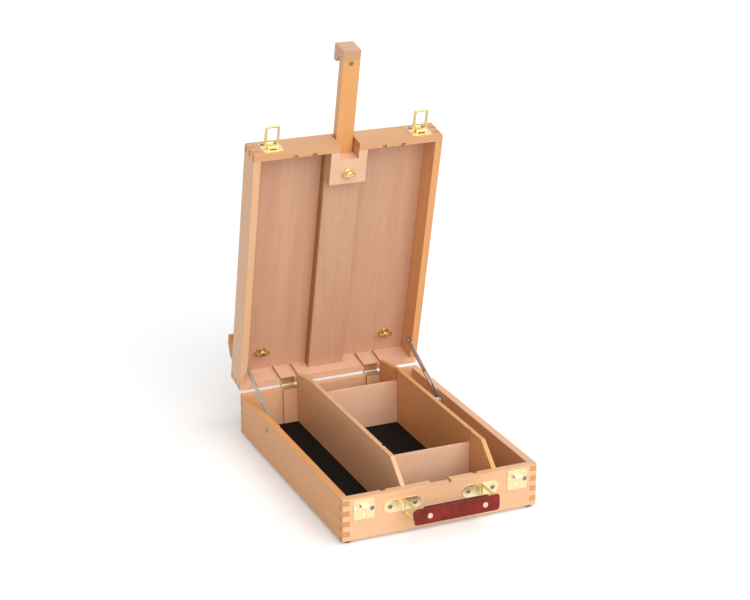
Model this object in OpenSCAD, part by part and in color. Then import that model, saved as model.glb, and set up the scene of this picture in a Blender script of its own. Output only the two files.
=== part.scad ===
// Pochade box: a finger-jointed paint box whose lid stands up as a small easel.
// Origin: centre of the resting plane under the feet. +X right, +Y towards the hinges, +Z up.
// The pieces of the lid are drawn where they lie on the closed box, and lid_pose() opens them.

/* [Box] */
// Width of the box, outside
box_w = 270; // [240:1:320]
// Depth of the box from handle side to hinge side, outside
box_d = 370; // [330:1:420]
// Thickness of the solid wood walls
wall = 10; // [8:0.5:12]
// Height of the base walls
base_h = 57; // [50:1:70]
// Height of the lid walls
lid_h = 36; // [34:1:45]
// Radius of the outer upright edges
corner_r = 2; // [0.5:0.5:4]
// Height of one finger of the corner joints
finger_h = 7; // [5:0.5:9]
// Gap left by the saw between base and closed lid
seam_gap = 0.4; // [0.2:0.1:1]
// Thickness of the plywood floor
floor_t = 4; // [3:0.5:6]
// Thickness of the black floor lining
lining_t = 1; // [0.6:0.2:2]
// Thickness of the plywood lid panel
panel_t = 4; // [3:0.5:5]

/* [Feet] */
// Height of the feet
foot_h = 4; // [3:0.5:6]
// Radius of the feet
foot_r = 6.2; // [5:0.1:8]
// Distance from the outer faces to the centre of a foot
foot_inset = 9; // [9:0.5:14]

/* [Dividers] */
// Thickness of the long dividers
divider_t = 6; // [4:0.5:7]
// Distance from the middle of the box to the inner pair of slots
slot_near = 50; // [46:1:54]
// Distance from the middle of the box to the outer pair of slots
slot_far = 77; // [74:1:82]
// Depth of the slots in the walls
slot_d = 3.5; // [2:0.5:5]
// How far the dividers rise above the base rim
divider_rise = 28; // [24:1:29]
// Length of the sloping front end of a divider
front_slope = 33; // [20:1:45]
// Length of the gently sloping rear end of a divider
rear_slope = 58; // [30:1:80]
// Drop of the gently sloping rear end
rear_drop = 9; // [4:1:14]
// Thickness of the cross boards
board_t = 5; // [4:0.5:7]
// How far the cross boards rise above the base rim
board_rise = 10; // [2:1:12]
// Depth of the grooves that hold the cross boards
groove_d = 2; // [1:0.25:2.5]
// Distance from the handle side to the front cross board
board_front_at = 75; // [68:1:110]
// Distance from the handle side to the rear cross board
board_rear_at = 304; // [250:1:320]
// Play of a loose board in its slot, on each side
board_play = 0.2; // [0.1:0.05:0.4]

/* [Lid hinge] */
// Angle at which the lid stands open
lid_open = 77; // [60:1:95]
// Distance from the middle of the box to each hinge
hinge_x = 63.5; // [60:0.5:66]
// Length of a hinge
hinge_l = 20; // [16:1:20]
// Thickness of a hinge leaf
leaf_t = 1; // [0.8:0.1:1.4]
// Radius of the hinge pin
pin_r = 1.25; // [1:0.05:1.4]
// Outer radius of the hinge knuckles
knuckle_r = 2.5; // [2.2:0.1:3]

/* [Mast] */
// Width of the mast
mast_w = 24.5; // [20:0.5:28]
// Thickness of the mast
mast_t = 11.2; // [9:0.1:12]
// Length of the mast without its hook
mast_l = 367; // [300:1:367]
// How far the mast is pulled out
mast_out = 102; // [0:1:240]
// Play of the mast in its channel, on each side
mast_play = 0.4; // [0.2:0.1:0.6]
// Width of the strip that covers the mast channel
strip_w = 52; // [46:1:56]
// Thickness of the board that covers the mast channel
cover_t = 4; // [3:0.5:5]
// Width of the opening for the mast in the lid wall
notch_w = 27; // [25:0.5:30]
// Depth of the saw-cut end of that opening in the base rim
notch_base = 3.5; // [1:0.5:6]
// Length of the clamp block
block_l = 48; // [40:1:60]
// Depth of the U-shaped opening in the clamp block
block_notch = 12; // [6:1:20]
// Distance from the end of the clamp block to its screw
screw_at = 16; // [12:1:20]
// Depth of the hook, from the front of the mast to its lip
hook_d = 30; // [26:1:36]
// Height of the hook above the end of the mast
hook_h = 13; // [10:1:18]
// Drop of the lip below the end of the mast
lip_drop = 11; // [6:1:14]
// Thickness of the lip
lip_t = 7; // [5:0.5:9]

/* [Canvas ledge] */
// Height of the ledge above the hinge side of the lid
ledge_at = 30; // [26:1:40]
// Height of the ledge section
ledge_h = 30; // [28:1:36]
// Depth of the ledge section
ledge_d = 19; // [16:1:24]
// Distance from the middle of the lid to each wing nut
nut_x = 94; // [80:1:100]

/* [Metal fittings] */
// Distance from the middle of the box to each latch
latch_x = 106; // [98:1:110]
// Width of the latch and keeper plates
latch_w = 28; // [24:1:30]
// Thickness of the stamped brass plates
plate_t = 1.2; // [0.8:0.1:1.6]
// Height of the keeper plate
keeper_h = 27; // [24:1:30]
// Radius of the latch loop wire
loop_r = 1.5; // [1:0.1:1.8]
// Width of the latch loop between wire centres
loop_w = 18; // [17:0.5:20]
// Length of the latch loop
loop_l = 28; // [27:0.5:29]

/* [Handle] */
// Distance from the middle of the box to each handle plate
handle_x = 54; // [48:1:58]
// Height of the handle plates above the resting plane
handle_z = 41; // [38:1:46]
// Angle by which the handle hangs to the right of straight out
handle_swing = 11; // [-50:1:50]
// Radius of the ring wire
ring_r = 1.6; // [1.2:0.1:2]
// Reach of a ring from its plate to the leather
ring_l = 28; // [26:1:34]
// Height of a ring between wire centres
ring_h = 16; // [15:0.2:18]
// How far the outer end of a ring hangs down
ring_drop = 4; // [0:0.5:6]
// Height of the leather grip
grip_h = 22; // [20:0.5:24]
// Thickness of the leather grip between its ends
grip_t = 6.6; // [5:0.2:8]
// Length of the narrow neck at each end of the leather grip
neck_l = 10; // [9:0.5:14]
// Clearance between a swinging ring and what it passes over
ring_gap = 0.3; // [0.2:0.05:0.5]

/* [Lid stays] */
// Width of a stay arm
arm_w = 10; // [8:0.5:12]
// Thickness of a stay arm
arm_t = 1.5; // [1:0.1:2]
// Length of a stay arm from its pivot to its far end centre
arm_l = 130; // [128:1:131]
// Distance of the stay pivot from the hinge side of the lid
stay_u = 35; // [32:1:38]
// Height of the stay pivot above the lid seam
stay_v = 9; // [7:0.5:12]
// Distance of the stay bolt from the hinge side of the base
bolt_back = 105; // [100:1:110]
// Height of the stay bolt above the resting plane
bolt_z = 48; // [44:1:50]
// Radius of the stay bolt
bolt_r = 2; // [1.6:0.1:2.3]

/* [Hidden] */

$fn = 48;
eps = 0.01;
hair = 0.15;
fit_play = 0.06;
bead = 0.04;
beech = [0.85, 0.65, 0.45];
amber = [0.83, 0.56, 0.27];
mahogany = [0.76, 0.53, 0.41];
brass = [0.85, 0.72, 0.35];
steel = [0.62, 0.62, 0.64];
leather = [0.45, 0.13, 0.07];
black = [0.05, 0.05, 0.06];

front_y = -box_d / 2;
back_y = box_d / 2;
side_x = box_w / 2;
rim_z = foot_h + base_h;
lid_z = rim_z + seam_gap;
top_z = lid_z + lid_h;
in_x = side_x - wall;
in_y = box_d / 2 - wall;
panel_z = top_z - panel_t;
floor_z = foot_h + floor_t + lining_t;
hinge_y = back_y + knuckle_r + 0.1;
hinge_z = rim_z + seam_gap / 2;

// A point of the closed lid, carried to the opened lid
function opened(p) = [p[0],
    hinge_y + (p[1] - hinge_y) * cos(lid_open) + (p[2] - hinge_z) * sin(lid_open),
    hinge_z - (p[1] - hinge_y) * sin(lid_open) + (p[2] - hinge_z) * cos(lid_open)];

module lid_pose() {
    translate([0, hinge_y, hinge_z])
        rotate([-lid_open, 0, 0])
            translate([0, -hinge_y, -hinge_z])
                children();
}

// A flat shape with round corners, centred
module rounded(w, d, r) {
    square([w - 2 * r, d], center = true);
    square([w, d - 2 * r], center = true);
    for (sx = [-1, 1], sy = [-1, 1])
        translate([sx * (w / 2 - r), sy * (d / 2 - r)])
            circle(r);
}

// A slot shape with round ends, from the origin along +X
module stadium(length, w) {
    translate([0, -w / 2])
        square([length, w]);
    circle(w / 2);
    translate([length, 0])
        circle(w / 2);
}

// A closed band of walls, from height z up by h
module outline_block(z, h) {
    translate([0, 0, z])
        linear_extrude(h)
            rounded(box_w, box_d, corner_r);
}

// The corner cells that belong to the side walls, within a band of walls
module side_fingers(z, h) {
    last = floor((h - 1) / (2 * finger_h));
    for (k = [0 : last], sx = [-1, 1], sy = [-1, 1]) {
        low = finger_h * (2 * k + 1) - 1;
        high = min(low + finger_h, h);
        if (high > low)
            translate([sx * (side_x - wall / 2) - wall / 2, sy * (in_y + wall / 2) - wall / 2, z + low])
                cube([wall, wall, high - low]);
    }
}

// Front or back wall of a band: the end to look at is picked by the sign
module end_wall(sign, z, h) {
    intersection() {
        outline_block(z, h);
        difference() {
            translate([-side_x, sign * (in_y + wall / 2) - wall / 2, z])
                cube([box_w, wall, h]);
            side_fingers(z, h);
            divider_slots(sign, z, h);
        }
    }
}

// The four slots for dividers on the inner face of an end wall
module divider_slots(sign, z, h) {
    w = divider_t + 2 * board_play;
    for (sx = [-1, 1], at = [slot_near, slot_far])
        translate([sx * at - w / 2, sign * (in_y + slot_d / 2) - slot_d / 2, z - 1])
            cube([w, slot_d, h + 2]);
}

// Left or right wall of a band
module side_wall(sign, z, h) {
    intersection() {
        outline_block(z, h);
        union() {
            translate([sign * (in_x + wall / 2) - wall / 2, -in_y, z])
                cube([wall, 2 * in_y, h]);
            intersection() {
                side_fingers(z, h);
                translate([sign * (in_x + wall / 2) - wall / 2, front_y, z])
                    cube([wall, box_d, h]);
            }
        }
    }
}

// Base

module base_front() {
    color(beech)
        difference() {
            end_wall(-1, foot_h, base_h);
            translate([-notch_w / 2, front_y - 1, rim_z - notch_base])
                cube([notch_w, wall + 2, notch_base + 1]);
        }
}

module base_back() {
    color(beech)
        difference() {
            end_wall(1, foot_h, base_h);
            for (sx = [-1, 1])
                translate([sx * hinge_x - hinge_l / 2, in_y - 1, rim_z - leaf_t])
                    cube([hinge_l, wall + 2, leaf_t + 1]);
        }
}

module base_side(sign) {
    color(beech)
        difference() {
            side_wall(sign, foot_h, base_h);
            translate([sign * (in_x - 1), back_y - bolt_back, bolt_z])
                rotate([0, sign * 90, 0])
                    cylinder(r = bolt_r + fit_play, h = wall + 2);
        }
}

module base_bottom() {
    color(mahogany)
        translate([-in_x, -in_y, foot_h])
            cube([2 * in_x, 2 * in_y, floor_t]);
}

module base_lining() {
    color(black)
        translate([-in_x + board_play, -in_y + board_play, foot_h + floor_t])
            cube([2 * (in_x - board_play), 2 * (in_y - board_play), lining_t]);
}

module feet() {
    color(black)
        for (sx = [-1, 1], sy = [-1, 1])
            translate([sx * (side_x - foot_inset), sy * (back_y - foot_inset), 0])
                rotate_extrude()
                    polygon([[0, 0], [foot_r - 1, 0], [foot_r, 1], [foot_r, foot_h - 0.5], [foot_r - 0.5, foot_h],
                        [0, foot_h]]);
}

// Dividers

module divider(x, groove_sides) {
    length_y = in_y + slot_d - board_play;
    top = rim_z + divider_rise;
    color(beech)
        difference() {
            translate([x + divider_t / 2, 0, 0])
                rotate([90, 0, -90])
                    linear_extrude(divider_t)
                        polygon([[length_y, floor_z], [length_y, rim_z], [length_y - front_slope, top],
                            [-length_y + rear_slope, top], [-length_y, top - rear_drop], [-length_y, floor_z]]);
            for (side = groove_sides, at = [board_front_at, board_rear_at])
                translate([x + side * (divider_t / 2 - groove_d / 2) - groove_d / 2,
                        front_y + at - board_t / 2 - board_play, floor_z - 1])
                    cube([groove_d + eps, board_t + 2 * board_play, base_h + divider_rise + 2]);
        }
}

module divider_left() {
    divider(-slot_near, [1]);
}

module divider_right() {
    divider(slot_far, [-1]);
}

module cross_board(at) {
    left = -slot_near + divider_t / 2 - groove_d + board_play;
    right = slot_far - divider_t / 2 + groove_d - board_play;
    color(beech)
        translate([left, front_y + at - board_t / 2, floor_z])
            cube([right - left, board_t, rim_z + board_rise - floor_z]);
}

module cross_board_front() {
    cross_board(board_front_at);
}

module cross_board_rear() {
    cross_board(board_rear_at);
}

// Lid hinges

knuckle_gap = 0.2;
knuckle_l = (hinge_l - 2 * knuckle_gap) / 3;

// One hinge leaf with the knuckles whose places are listed, 0 to 2 along X
module hinge_leaf(x, z, places) {
    color(brass)
        difference() {
            union() {
                translate([x - hinge_l / 2, in_y, z])
                    cube([hinge_l, wall, leaf_t]);
                for (k = places)
                    translate([x - hinge_l / 2 + k * (knuckle_l + knuckle_gap), 0, 0]) {
                        translate([0, hinge_y, hinge_z])
                            rotate([0, 90, 0])
                                cylinder(r = knuckle_r, h = knuckle_l);
                        translate([0, in_y + wall / 2, z])
                            cube([knuckle_l, hinge_y - in_y - wall / 2, leaf_t]);
                    }
            }
            translate([x - hinge_l / 2 - 1, hinge_y, hinge_z])
                rotate([0, 90, 0])
                    cylinder(r = pin_r + fit_play, h = hinge_l + 2);
        }
}

module hinge_base_leaf_left() {
    hinge_leaf(-hinge_x, rim_z - leaf_t, [0, 2]);
}

module hinge_base_leaf_right() {
    hinge_leaf(hinge_x, rim_z - leaf_t, [0, 2]);
}

module hinge_lid_leaf_left() {
    lid_pose()
        hinge_leaf(-hinge_x, lid_z, [1]);
}

module hinge_lid_leaf_right() {
    lid_pose()
        hinge_leaf(hinge_x, lid_z, [1]);
}

module hinge_pins() {
    color(brass)
        for (sx = [-1, 1])
            translate([sx * hinge_x - hinge_l / 2 - 0.8, hinge_y, hinge_z])
                rotate([0, 90, 0]) {
                    cylinder(r = pin_r, h = hinge_l + 1.6);
                    cylinder(r = pin_r + 0.5, h = 0.6);
                }
}

// Handle

ring_axis_y = front_y - plate_t - 3.2;
ring_out = [ring_l * sin(handle_swing), -ring_l * cos(handle_swing)];
plate_l = 51;
plate_h = 17;
barrel_r = ring_r + 1.5;
ring_slope = ring_drop / ring_l;

// How far a sloping wire of the ring reaches inside its corner at the distance d from it
function wire_reach(d) = ring_slope * d + ring_r * sqrt(1 + ring_slope * ring_slope);

barrel_h = ring_h - 2 * (wire_reach(barrel_r) + ring_gap);

// A closed loop of round wire through the given corners
module wire_loop(points, r) {
    n = len(points);
    for (k = [0 : n - 1]) {
        d = points[(k + 1) % n] - points[k];
        translate(points[k]) {
            sphere(r = r + bead);
            rotate([0, acos(d[2] / norm(d)), atan2(d[1], d[0])])
                cylinder(r = r, h = norm(d));
        }
    }
}

// A brass plate with round ends, and a barrel that holds the ring
module handle_plate(sign) {
    color(brass)
        translate([sign * handle_x, front_y, handle_z]) {
            difference() {
                union() {
                    rotate([90, 0, 0])
                        linear_extrude(plate_t)
                            translate([-(plate_l - plate_h) / 2, 0])
                                stadium(plate_l - plate_h, plate_h);
                    translate([0, ring_axis_y - front_y, -barrel_h / 2])
                        cylinder(r = barrel_r, h = barrel_h);
                    translate([-barrel_r, ring_axis_y - front_y, -barrel_h / 2])
                        cube([2 * barrel_r, front_y - ring_axis_y, barrel_h]);
                }
                translate([0, ring_axis_y - front_y, -barrel_h / 2 - 1])
                    cylinder(r = ring_r + fit_play, h = barrel_h + 2);
                for (sx = [-1, 1])
                    translate([sx * (plate_l - plate_h) / 2, 1, 0])
                        rotate([90, 0, 0])
                            cylinder(r = 1.8 + fit_play, h = plate_t + 2);
            }
        }
}

module handle_plate_left() {
    handle_plate(-1);
}

module handle_plate_right() {
    handle_plate(1);
}

// A wire ring, upright in the barrel at its inner end and in the leather at its outer end
module handle_ring(sign) {
    inner = [sign * handle_x, ring_axis_y, handle_z];
    outer = inner + [ring_out[0], ring_out[1], -ring_drop];
    up = [0, 0, ring_h / 2];
    color(brass)
        wire_loop([inner - up, inner + up, outer + up, outer - up], ring_r);
}

module handle_ring_left() {
    handle_ring(-1);
}

module handle_ring_right() {
    handle_ring(1);
}

grip_y = ring_axis_y + ring_out[1];
grip_z = handle_z - ring_drop;
fold_r = ring_r + 3;
fold_h = ring_h - 2 * (wire_reach(fold_r) + 2 * ring_gap);
face_y = -ring_r - bead - ring_gap;
grip_back = grip_t - fold_r;
grip_mid = grip_back - grip_t / 2;
grip_corner = 4;
rivet_x = handle_x - 16;
rivet_r = 1.6;
rivet_head = 3.8;

// A leather face over the whole length; behind it the leather is folded round both rings
// in narrow necks and sewn flat between them
module leather_grip() {
    color(leather)
        translate([ring_out[0], grip_y, grip_z])
            difference() {
                union() {
                    translate([0, face_y, 0])
                        rotate([90, 0, 0])
                            linear_extrude(fold_r + face_y)
                                rounded(2 * (handle_x + fold_r), grip_h, grip_corner);
                    translate([neck_l - handle_x, face_y - eps, -grip_h / 2])
                        cube([2 * (handle_x - neck_l), grip_back - face_y + eps, grip_h]);
                    translate([-handle_x, face_y - eps, -fold_h / 2])
                        cube([2 * handle_x, grip_back - face_y + eps, fold_h]);
                    for (sx = [-1, 1])
                        translate([sx * handle_x, 0, -fold_h / 2])
                            cylinder(r = fold_r, h = fold_h);
                }
                for (sx = [-1, 1])
                    translate([sx * handle_x, 0, -grip_h / 2 - 1])
                        cylinder(r = ring_r + fit_play, h = grip_h + 2);
                for (sx = [-1, 1])
                    translate([sx * rivet_x, grip_mid, 0])
                        rotate([90, 0, 0])
                            cylinder(r = rivet_r, h = grip_t + 2, center = true);
            }
}

module grip_rivets() {
    color(brass)
        translate([ring_out[0], grip_y, grip_z])
            for (sx = [-1, 1])
                translate([sx * rivet_x, grip_mid, 0])
                    rotate([90, 0, 0])
                        rotate_extrude()
                            polygon([[0, -grip_t / 2 - 1], [rivet_head - 0.4, -grip_t / 2 - 0.8],
                                [rivet_head, -grip_t / 2], [rivet_r, -grip_t / 2], [rivet_r, grip_t / 2],
                                [rivet_head, grip_t / 2], [rivet_head - 0.4, grip_t / 2 + 0.8],
                                [0, grip_t / 2 + 1]]);
}

// A round-headed screw on a plate, its stub through the plate, pointing to -Y
module plate_screw() {
    rotate([90, 0, 0])
        rotate_extrude()
            polygon([[0, 0], [1.8, 0], [1.8, plate_t], [3.1, plate_t], [2.6, plate_t + 0.9], [0, plate_t + 1.3]]);
}

// Latches

keeper_top = rim_z - 3;
keeper_z = keeper_top - keeper_h / 2;
keeper_screws = [[-10.5, 0], [10.5, 0], [0, -9.5]];
lever_axis = [front_y - plate_t - 2.4, lid_z + 10];
loop_axis = [front_y - plate_t - 2, lid_z + 15];
bar_z = loop_axis[1] - loop_l;
catch_y = loop_axis[0];
catch_t = 1.4;
catch_w = 9;

// A keeper plate with a catch that is open below, under which the loop's bar is drawn up
module keeper(sign) {
    color(brass)
        translate([sign * latch_x, 0, 0])
            difference() {
                union() {
                    translate([0, front_y, keeper_z])
                        rotate([90, 0, 0])
                            linear_extrude(plate_t)
                                rounded(latch_w, keeper_h, 3);
                    translate([-catch_w / 2, catch_y, bar_z])
                        rotate([90, 0, 90])
                            linear_extrude(catch_w)
                                catch_section();
                }
                for (p = keeper_screws)
                    translate([p[0], front_y + 1, keeper_z + p[1]])
                        rotate([90, 0, 0])
                            cylinder(r = 1.8 + fit_play, h = plate_t + 2);
            }
}

// Side view of the catch round the bar's centre, with the plate towards +X
module catch_section() {
    room = loop_r + 0.5;
    back = front_y - plate_t - catch_y;
    difference() {
        union() {
            circle(room + catch_t);
            translate([0, room])
                square([back + 0.2, catch_t]);
        }
        circle(room);
        translate([0, -room * 3])
            square([room * 3, room * 4]);
        translate([-room * 3, -room * 3])
            square([room * 6, room * 3 - 2]);
    }
}

module keeper_left() {
    keeper(-1);
}

module keeper_right() {
    keeper(1);
}

module front_screws() {
    color(brass) {
        for (sx = [-1, 1], p = keeper_screws)
            translate([sx * latch_x + p[0], front_y, keeper_z + p[1]])
                plate_screw();
        for (sx = [-1, 1], kx = [-1, 1])
            translate([sx * handle_x + kx * (plate_l - plate_h) / 2, front_y, handle_z])
                plate_screw();
    }
}

latch_plate_h = 26;
ear_t = 1.4;
ear_x = 5.2;
lever_w = 2 * (ear_x - 0.3);
latch_screw_x = 9.5;
latch_screw_z = 21.5;

// A latch plate on the lid with two ears for the lever's pin
module latch_plate(sign) {
    lid_pose()
        color(brass)
            translate([sign * latch_x, 0, 0])
                difference() {
                    union() {
                        translate([0, front_y, lid_z + 3 + latch_plate_h / 2])
                            rotate([90, 0, 0])
                                linear_extrude(plate_t)
                                    rounded(latch_w, latch_plate_h, 3);
                        for (sx = [-1, 1])
                            translate([sx * (ear_x + ear_t / 2) - ear_t / 2, lever_axis[0], lever_axis[1]])
                                rotate([90, 0, 90])
                                    linear_extrude(ear_t) {
                                        circle(2.2);
                                        translate([0, -2.2])
                                            square([front_y - lever_axis[0], 4.4]);
                                    }
                    }
                    translate([-latch_w, lever_axis[0], lever_axis[1]])
                        rotate([0, 90, 0])
                            cylinder(r = 1 + fit_play, h = 2 * latch_w);
                    for (sx = [-1, 1])
                        translate([sx * latch_screw_x, front_y + 1, lid_z + 3 + latch_screw_z])
                            rotate([90, 0, 0])
                                cylinder(r = 1.8 + fit_play, h = plate_t + 2);
                }
}

module latch_plate_left() {
    latch_plate(-1);
}

module latch_plate_right() {
    latch_plate(1);
}

module latch_screws() {
    lid_pose()
        color(brass)
            for (sx = [-1, 1], kx = [-1, 1])
                translate([sx * latch_x + kx * latch_screw_x, front_y, lid_z + 3 + latch_screw_z])
                    plate_screw();
}

// The lever with its pin; it holds the loop's bar a little above its own pin, past dead centre
module latch_lever(sign) {
    arm_y = loop_axis[0] - lever_axis[0];
    arm_z = loop_axis[1] - lever_axis[1];
    lid_pose()
        color(brass)
            translate([sign * latch_x, lever_axis[0], lever_axis[1]])
                difference() {
                    union() {
                        rotate([0, 90, 0])
                            cylinder(r = 1, h = 2 * (ear_x + ear_t), center = true);
                        rotate([90, 0, 90])
                            linear_extrude(lever_w, center = true) {
                                circle(1.9);
                                translate([arm_y, arm_z])
                                    circle(loop_r + 0.4);
                                polygon([[-1.7, 0], [1.2, 0], [arm_y + 1.2, arm_z], [arm_y - 1.7, arm_z]]);
                                translate([arm_y - 0.7, arm_z])
                                    square([1.4, 7]);
                            }
                        translate([0, arm_y - 1, arm_z + 7])
                            rotate([0, 90, 0])
                                cylinder(r = 1.5, h = lever_w, center = true);
                    }
                    translate([0, arm_y, arm_z])
                        rotate([0, 90, 0])
                            cylinder(r = loop_r + fit_play, h = lever_w + 2, center = true);
                }
}

module latch_lever_left() {
    latch_lever(-1);
}

module latch_lever_right() {
    latch_lever(1);
}

// The loop stands straight out of the lid's end, one bar in the lever and one free
module latch_loop(sign) {
    x = loop_w / 2;
    lid_pose()
        color(brass)
            translate([sign * latch_x, loop_axis[0], loop_axis[1]])
                wire_loop([[-x, 0, 0], [x, 0, 0], [x, -loop_l, 0], [-x, -loop_l, 0]], loop_r);
}

module latch_loop_left() {
    latch_loop(-1);
}

module latch_loop_right() {
    latch_loop(1);
}

// Lid

mast_low = panel_z - mast_play - mast_t;
channel_z = mast_low - mast_play;
cover_z = channel_z - cover_t;

module lid_front() {
    lid_pose()
        color(beech)
            difference() {
                end_wall(-1, lid_z, lid_h);
                translate([-notch_w / 2, front_y - 1, lid_z - 1])
                    cube([notch_w, wall + 2, panel_z - lid_z + 1]);
            }
}

module lid_back() {
    lid_pose()
        color(beech)
            difference() {
                end_wall(1, lid_z, lid_h);
                for (sx = [-1, 1])
                    translate([sx * hinge_x - hinge_l / 2, in_y - 1, lid_z - 1])
                        cube([hinge_l, wall + 2, leaf_t + 1]);
            }
}

module lid_side(sign) {
    lid_pose()
        color(beech)
            difference() {
                side_wall(sign, lid_z, lid_h);
                translate([sign * (in_x - 1), back_y - stay_u, lid_z + stay_v])
                    rotate([0, sign * 90, 0])
                        cylinder(r = bolt_r + fit_play, h = 7);
            }
}

module lid_left() {
    lid_side(-1);
}

module lid_right() {
    lid_side(1);
}

module base_left() {
    base_side(-1);
}

module base_right() {
    base_side(1);
}

stud_r = 3;
stud_y = back_y - ledge_at - 10;

module lid_panel() {
    lid_pose()
        color(mahogany)
            difference() {
                translate([-in_x, -in_y, panel_z])
                    cube([2 * in_x, 2 * in_y, panel_t]);
                for (sx = [-1, 1])
                    translate([sx * nut_x, stud_y, panel_z - 1])
                        cylinder(r = stud_r + fit_play, h = panel_t + 2);
            }
}

module mast_battens() {
    w = (strip_w - mast_w) / 2 - mast_play;
    lid_pose()
        color(beech)
            for (sx = [-1, 1])
                translate([sx * (strip_w / 2 - w / 2) - w / 2, -in_y, channel_z])
                    cube([w, 2 * in_y, panel_z - channel_z]);
}

module mast_cover() {
    lid_pose()
        color(mahogany)
            translate([-strip_w / 2, -in_y + block_l, cover_z])
                cube([strip_w, 2 * in_y - block_l, cover_t]);
}

clamp_y = -in_y + block_l - screw_at;
clamp_r = 3;

module clamp_block() {
    lid_pose()
        color(beech)
            difference() {
                translate([-strip_w / 2, -in_y, lid_z])
                    cube([strip_w, block_l, channel_z - lid_z]);
                translate([-notch_w / 2, -in_y - 1, lid_z - 1])
                    cube([notch_w, block_notch + 1, channel_z - lid_z + 2]);
                translate([0, clamp_y, lid_z - 1])
                    cylinder(r = clamp_r + fit_play, h = channel_z - lid_z + 2);
            }
}

// The brass thumbscrew that clamps the mast
module clamp_screw() {
    lid_pose()
        color(brass)
            translate([0, clamp_y, lid_z])
                union() {
                    rotate_extrude()
                        polygon([[0, -8], [4, -8], [5, -7], [5, -2], [6.5, -1], [6.5, -0.3], [clamp_r, -0.3],
                            [clamp_r, mast_low - lid_z - hair], [0, mast_low - lid_z - hair]]);
                    for (sx = [-1, 1])
                        translate([sx * 5.4, 0, -6])
                            rotate([90, 0, 0])
                                cylinder(r = 3.6, h = 2.4, center = true);
                }
}

mast_stow_end = front_y - hair * 2 - lip_drop;
mast_end = mast_stow_end - mast_out;

module mast() {
    lid_pose()
        color(amber)
            difference() {
                translate([-mast_w / 2, mast_end, mast_low])
                    cube([mast_w, mast_l, mast_t]);
                translate([0, mast_end + 5, mast_low - 1])
                    cylinder(r = 1.8 + fit_play, h = 5);
            }
}

// The hook that holds the top edge of a panel, seated on the mast's end
module mast_hook() {
    back = mast_low + hook_d;
    bevel = 2;
    lid_pose()
        color(beech)
            translate([-mast_w / 2, 0, 0])
                rotate([90, 0, 90])
                    linear_extrude(mast_w)
                        polygon([[mast_end, mast_low], [mast_end - hook_h, mast_low],
                            [mast_end - hook_h, back - bevel], [mast_end - hook_h + bevel, back],
                            [mast_end + lip_drop, back], [mast_end + lip_drop, back - lip_t],
                            [mast_end, mast_low + mast_t + 3]]);
}

module hook_screw() {
    lid_pose()
        color(brass)
            translate([0, mast_end + 5, mast_low])
                rotate_extrude()
                    polygon([[0, 4], [1.8, 4], [1.8, 0], [3.2, 0], [2.7, -0.9], [0, -1.4]]);
}

// The wooden bar that the panel stands on, with a lip along its outer edge
module canvas_ledge() {
    low = back_y - ledge_at;
    high = low - ledge_h;
    lip_h = 6;
    lid_pose()
        color(beech)
            difference() {
                translate([-side_x, 0, 0])
                    rotate([90, 0, 90])
                        linear_extrude(box_w)
                            polygon([[low, top_z], [high + lip_h, top_z], [high + lip_h, top_z + ledge_d - 5],
                                [high, top_z + ledge_d - 4], [high, top_z + ledge_d],
                                [high + ledge_h / 2, top_z + ledge_d], [low, top_z + 7]]);
                for (sx = [-1, 1])
                    translate([sx * nut_x, stud_y, top_z - 1])
                        cylinder(r = stud_r + fit_play, h = stud_in + 1.5);
            }
}

stud_in = 7.5;
nut_h = 8;
stud_low = panel_z - nut_h - 3;

module ledge_studs() {
    lid_pose()
        color(brass)
            for (sx = [-1, 1])
                translate([sx * nut_x, stud_y, stud_low])
                    cylinder(r = stud_r, h = top_z + stud_in - stud_low);
}

// A wing nut on a ledge stud, flange against the panel
module wing_nut(sign) {
    lid_pose()
        color(brass)
            translate([sign * nut_x, stud_y, panel_z])
                difference() {
                    union() {
                        rotate_extrude()
                            polygon([[0, -hair], [7, -hair], [7, -1.4], [5.2, -2], [4.6, -nut_h], [0, -nut_h]]);
                        for (sx = [-1, 1])
                            translate([sx * 6.4, 0, 0.5 - nut_h])
                                rotate([90, 0, 0])
                                    cylinder(r = 4, h = 2, center = true);
                    }
                    translate([0, 0, -nut_h - 4])
                        cylinder(r = stud_r + fit_play, h = nut_h + 5);
                }
}

module wing_nut_left() {
    wing_nut(-1);
}

module wing_nut_right() {
    wing_nut(1);
}

// Lid stays

arm_gap = 0.3;
arm_x = in_x - arm_gap - arm_t;
stay_pivot = opened([0, back_y - stay_u, lid_z + stay_v]);
stay_bolt = [0, back_y - bolt_back, bolt_z];
stay_reach = norm(stay_bolt - stay_pivot);
stay_angle = atan2(stay_pivot[2] - stay_bolt[2], stay_pivot[1] - stay_bolt[1]);
slot_from = 66;

// The slotted arm lies along the wall, pivoted on the lid; its slot rides on the base bolt
module stay_arm(sign) {
    color(steel)
        translate([sign * (arm_x + arm_t / 2), stay_pivot[1], stay_pivot[2]])
            rotate([stay_angle, 0, 0])
                rotate([90, 0, -90])
                    linear_extrude(arm_t, center = true)
                        difference() {
                            stadium(arm_l, arm_w);
                            circle(bolt_r + fit_play);
                            translate([slot_from, 0])
                                stadium(arm_l - slot_from - 1.5, 2 * bolt_r + 0.5);
                        }
}

module stay_arm_left() {
    stay_arm(-1);
}

module stay_arm_right() {
    stay_arm(1);
}

// The pivot screw of an arm, in the lid's side wall
module stay_pivot_screw(sign) {
    color(steel)
        translate([sign * (in_x + 5.5), stay_pivot[1], stay_pivot[2]])
            rotate([0, -sign * 90, 0])
                rotate_extrude()
                    polygon([[0, 0], [bolt_r, 0], [bolt_r, 5.5 + arm_gap + arm_t + hair],
                        [4, 5.5 + arm_gap + arm_t + hair], [3.4, 5.5 + arm_gap + arm_t + 1.2],
                        [0, 5.5 + arm_gap + arm_t + 1.7]]);
}

module stay_pivot_left() {
    stay_pivot_screw(-1);
}

module stay_pivot_right() {
    stay_pivot_screw(1);
}

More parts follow.
